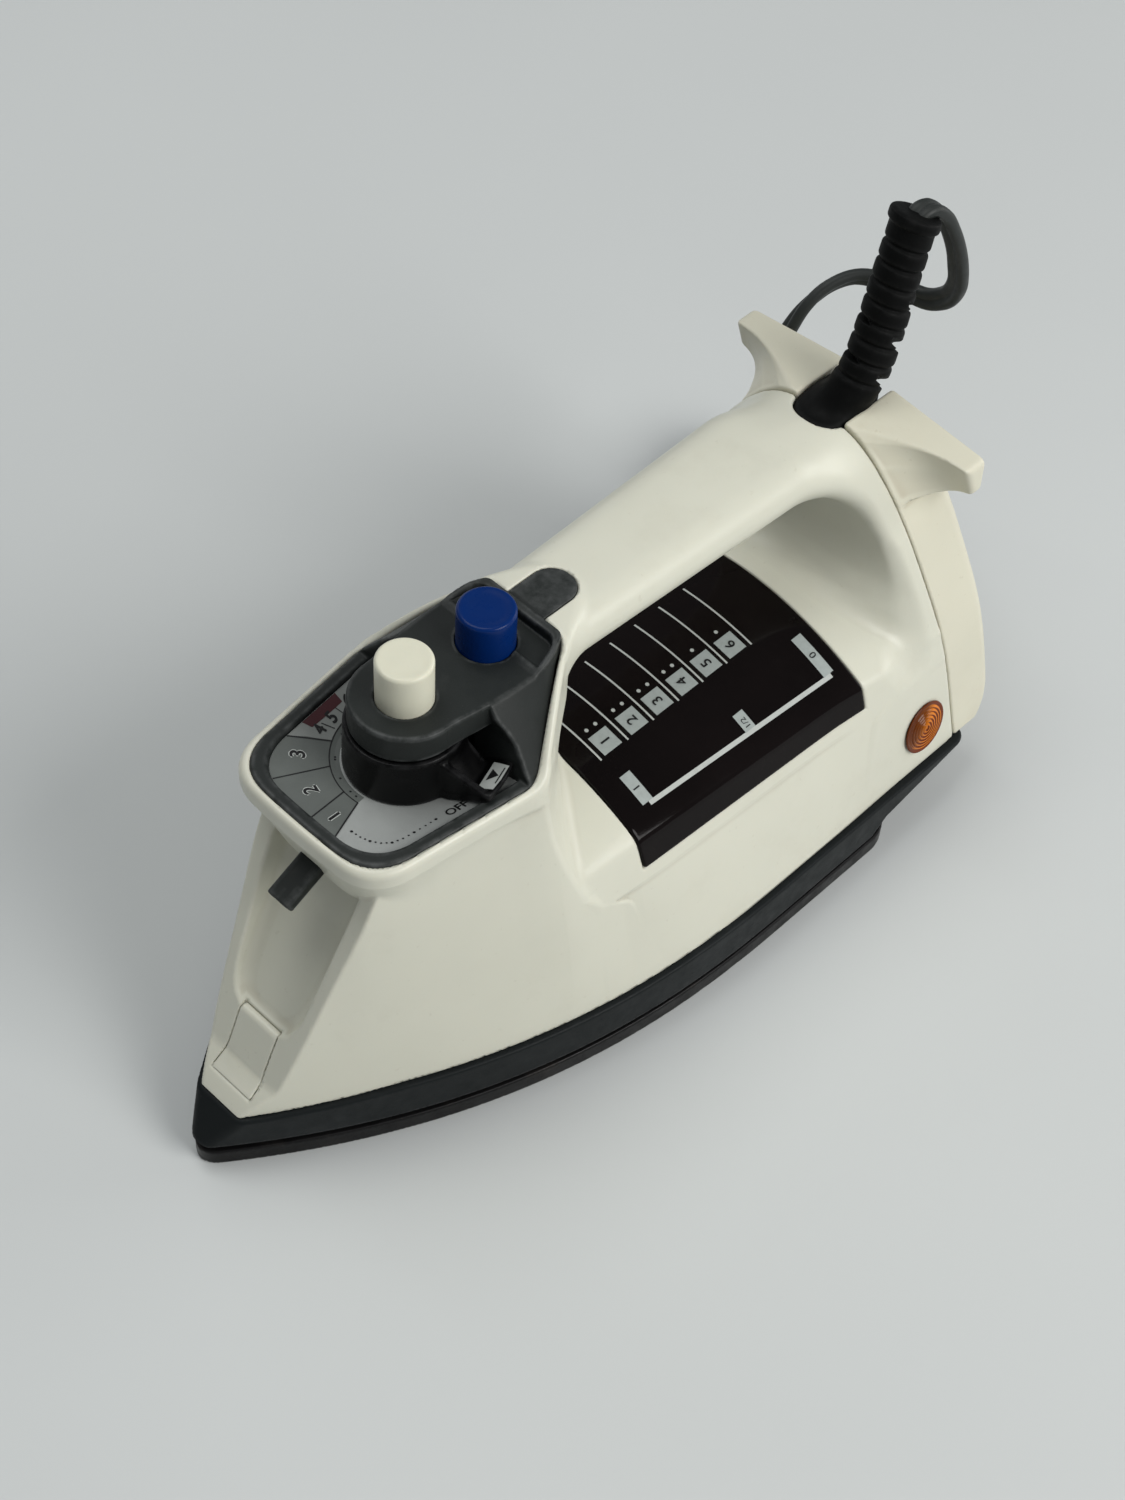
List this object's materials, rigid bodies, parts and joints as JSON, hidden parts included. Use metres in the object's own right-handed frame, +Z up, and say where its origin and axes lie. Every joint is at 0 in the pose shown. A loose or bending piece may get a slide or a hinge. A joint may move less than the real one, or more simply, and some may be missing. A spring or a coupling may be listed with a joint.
{
  "type": "steam iron",
  "caption": "Household steam and spray iron: pointed soleplate, hollow ivory housing with open handle, smoked water window, thermostat dial, steam and spray push buttons, heel cord wings.",
  "frame": {"origin": "middle of the iron's overall length and width on the plane of the sole's flat bottom, the cord left out", "axes": "+X from the nose to the heel, +Y to the side away from the pilot lamp, +Z up from the sole to the handle"},
  "size_m": [0.2999, 0.1395, 0.1683],
  "materials": {
    "ivory": "satin moulded ivory",
    "ivory_warm": "satin moulded ivory, slightly yellowed",
    "charcoal": "satin charcoal heat-proof moulding",
    "sole_dark": "cast, dark coated",
    "smoked": "polished smoked brown",
    "clear_plastic": "clear moulded plastic",
    "dark_grey": "fine matt",
    "grey_plastic": "plain moulded",
    "silver": "silver print",
    "black": "gloss black",
    "blue": "gloss royal blue",
    "amber": "translucent amber",
    "steel": "plain",
    "aluminium": "pressed sheet",
    "brass": "turned",
    "rubber": "matt black",
    "wire": "glass-braid sleeve",
    "flex": "dark grey flat twin flex"
  },
  "bodies": {
    "iron": {"soleplate": "sole_dark", "heating_element": "steel", "steam_chamber_cover": "aluminium", "skirt": "charcoal", "main_housing": "ivory", "nose_cap": "ivory", "rear_cover": "ivory_warm", "water_window": "smoked", "water_tank": "clear_plastic", "water_feed_tube": "grey_plastic", "control_cover": "dark_grey", "dial_plate": "silver", "thermostat": "steel", "steam_spring": "steel", "steam_valve_seat": "brass", "spray_spring": "steel", "spray_pump_cylinder": "grey_plastic", "spray_tube": "grey_plastic", "spray_nozzle": "dark_grey", "pilot_lens": "amber", "pilot_lamp": "amber", "terminal_block": "ivory_warm", "thermal_fuse": "steel", "lead_wires": "wire", "cord_clamp": "dark_grey", "rear_cover_screws": "steel", "skirt_screws": "steel", "cord_boot": "rubber", "cord_run": "flex", "cord_hank": "flex", "cord_tie": "rubber", "cord_lead": "flex", "cord_plug": "rubber", "plug_blades": "brass"},
    "dial": {"thermostat_dial": "black"},
    "steam_key": {"steam_button": "ivory_warm", "steam_valve_rod": "steel"},
    "spray_key": {"spray_button": "blue", "spray_plunger": "grey_plastic"}
  },
  "joints": [
    {"name": "thermostat_turn", "type": "hinge", "parent": "iron", "child": "dial", "pos_m": [-0.05125, 0, 0.1], "axis": [0, 0, -1], "range_deg": [0, 210]},
    {"name": "steam_press", "type": "slide", "parent": "iron", "child": "steam_key", "axis": [0, 0, -1], "range_m": [0, 0.005], "stiffness_N_per_m": 400, "deforming": ["steam_spring"]},
    {"name": "spray_press", "type": "slide", "parent": "iron", "child": "spray_key", "axis": [0, 0, -1], "range_m": [0, 0.007], "stiffness_N_per_m": 400, "deforming": ["spray_spring"]}
  ]
}
